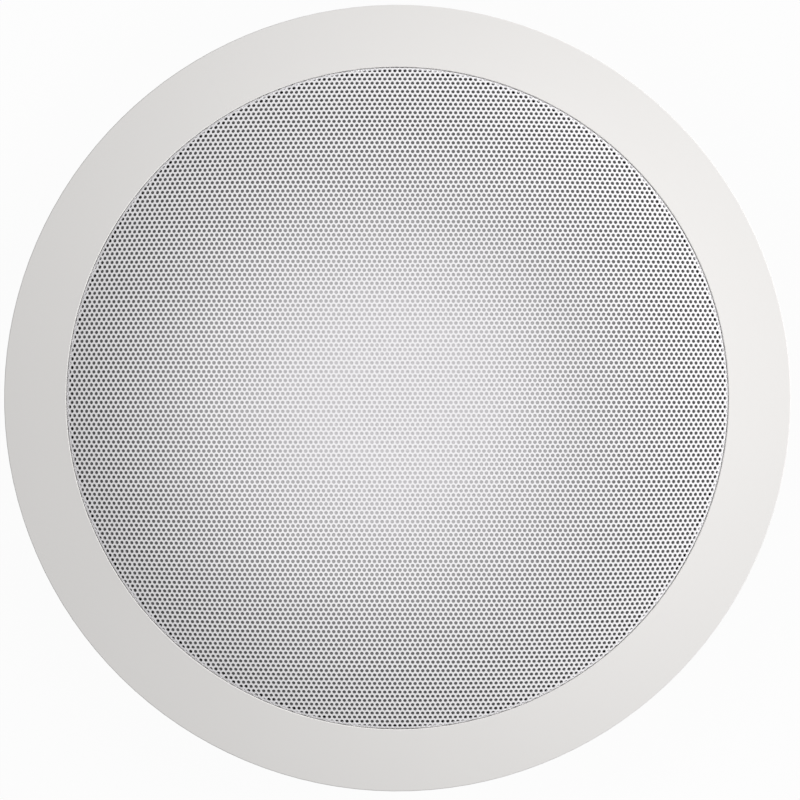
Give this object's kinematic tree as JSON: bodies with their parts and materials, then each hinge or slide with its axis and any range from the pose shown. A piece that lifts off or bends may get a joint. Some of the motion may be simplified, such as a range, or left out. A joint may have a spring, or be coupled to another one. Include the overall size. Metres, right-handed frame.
{
  "type": "in-ceiling speaker",
  "caption": "Round flush speaker for a ceiling cut-out: conical bezel, domed perforated grille, coaxial woofer and tweeter, swing-out clamps and push terminals.",
  "frame": {"origin": "on the speaker's axis, in the plane of the flange's back, which is the room face of the ceiling board", "axes": "+Z along the axis out of the grille, the way the sound leaves; -Z into the ceiling; -Y towards the crossover board, +Y towards the terminal"},
  "size_m": [0.233, 0.233, 0.0939],
  "materials": {
    "white_moulding": "satin white moulding with a fine spark texture",
    "white_grille_paint": "satin white powder coat on perforated steel",
    "scrim_cloth": "thin light grey acoustic cloth",
    "black_basket_paint": "satin black paint on pressed steel",
    "surround_rubber": "matt black rubber",
    "gasket_foam": "black closed-cell foam",
    "cone_paper": "coated dark paper",
    "former_foil": "thin rolled foil",
    "copper_wire": "enamelled copper wire",
    "spider_cloth": "resin-dipped woven cloth",
    "zinc_steel": "zinc-plated turned steel",
    "ferrite": "ground dark ferrite",
    "black_plastic": "fine matt black moulding",
    "nickel_magnet": "nickel plate",
    "dome_silk": "coated fine silk",
    "screw_steel": "bright zinc plate",
    "clamp_nylon": "black glass-filled nylon",
    "board_laminate": "green lacquered laminate",
    "capacitor_case": "yellow film capacitor case",
    "resistor_cement": "white cement body",
    "red_button": "moulded red",
    "black_button": "moulded black"
  },
  "bodies": {
    "chassis": {"bezel_frame": "white_moulding", "grille": "white_grille_paint", "grille_scrim": "scrim_cloth", "woofer_basket": "black_basket_paint", "woofer_surround": "surround_rubber", "woofer_gasket": "gasket_foam", "spider": "spider_cloth", "top_plate": "zinc_steel", "magnet": "ferrite", "yoke": "zinc_steel", "tweeter_post": "black_plastic", "tweeter_nut": "zinc_steel", "tweeter_cup": "black_plastic", "tweeter_pot": "zinc_steel", "tweeter_magnet": "nickel_magnet", "tweeter_plate": "zinc_steel", "tweeter_dome": "dome_silk", "tweeter_face": "black_plastic", "woofer_screws": "screw_steel", "crossover_board": "board_laminate", "board_screws": "screw_steel", "crossover_coil": "copper_wire", "crossover_capacitor": "capacitor_case", "crossover_resistor": "resistor_cement", "terminal_block": "black_plastic"},
    "cone_assembly": {"woofer_cone": "cone_paper", "voice_coil_former": "former_foil", "voice_coil_winding": "copper_wire"},
    "button_red": {"terminal_button_red": "red_button"},
    "button_black": {"terminal_button_black": "black_button"},
    "clamp_1_screw": {"clamp_screw_1": "screw_steel"},
    "clamp_1_dog": {"clamp_dog_1": "clamp_nylon"},
    "clamp_2_screw": {"clamp_screw_2": "screw_steel"},
    "clamp_2_dog": {"clamp_dog_2": "clamp_nylon"},
    "clamp_3_screw": {"clamp_screw_3": "screw_steel"},
    "clamp_3_dog": {"clamp_dog_3": "clamp_nylon"},
    "clamp_4_screw": {"clamp_screw_4": "screw_steel"},
    "clamp_4_dog": {"clamp_dog_4": "clamp_nylon"}
  },
  "joints": [
    {"name": "cone_travel", "type": "slide", "parent": "chassis", "child": "cone_assembly", "axis": [0, 0, 1], "range_m": [-0.004, 0.004], "stiffness_N_per_m": 1250, "deforming": ["woofer_surround", "spider"]},
    {"name": "button_red_press", "type": "slide", "parent": "chassis", "child": "button_red", "axis": [0, 0, 1], "range_m": [0, 0.0025], "stiffness_N_per_m": 300},
    {"name": "button_black_press", "type": "slide", "parent": "chassis", "child": "button_black", "axis": [0, 0, 1], "range_m": [0, 0.0025], "stiffness_N_per_m": 300},
    {"name": "clamp_1_swing", "type": "hinge", "parent": "chassis", "child": "clamp_1_screw", "pos_m": [0.063, 0.063, -0.03], "axis": [0, 0, -1], "range_deg": [0, 90]},
    {"name": "clamp_1_draw", "type": "slide", "parent": "clamp_1_screw", "child": "clamp_1_dog", "axis": [0, 0, 1], "range_m": [0, 0.032]},
    {"name": "clamp_2_swing", "type": "hinge", "parent": "chassis", "child": "clamp_2_screw", "pos_m": [-0.063, 0.063, -0.03], "axis": [0, 0, -1], "range_deg": [0, 90]},
    {"name": "clamp_2_draw", "type": "slide", "parent": "clamp_2_screw", "child": "clamp_2_dog", "axis": [0, 0, 1], "range_m": [0, 0.032]},
    {"name": "clamp_3_swing", "type": "hinge", "parent": "chassis", "child": "clamp_3_screw", "pos_m": [-0.063, -0.063, -0.03], "axis": [0, 0, -1], "range_deg": [0, 90]},
    {"name": "clamp_3_draw", "type": "slide", "parent": "clamp_3_screw", "child": "clamp_3_dog", "axis": [0, 0, 1], "range_m": [0, 0.032]},
    {"name": "clamp_4_swing", "type": "hinge", "parent": "chassis", "child": "clamp_4_screw", "pos_m": [0.063, -0.063, -0.03], "axis": [0, 0, -1], "range_deg": [0, 90]},
    {"name": "clamp_4_draw", "type": "slide", "parent": "clamp_4_screw", "child": "clamp_4_dog", "axis": [0, 0, 1], "range_m": [0, 0.032]}
  ]
}
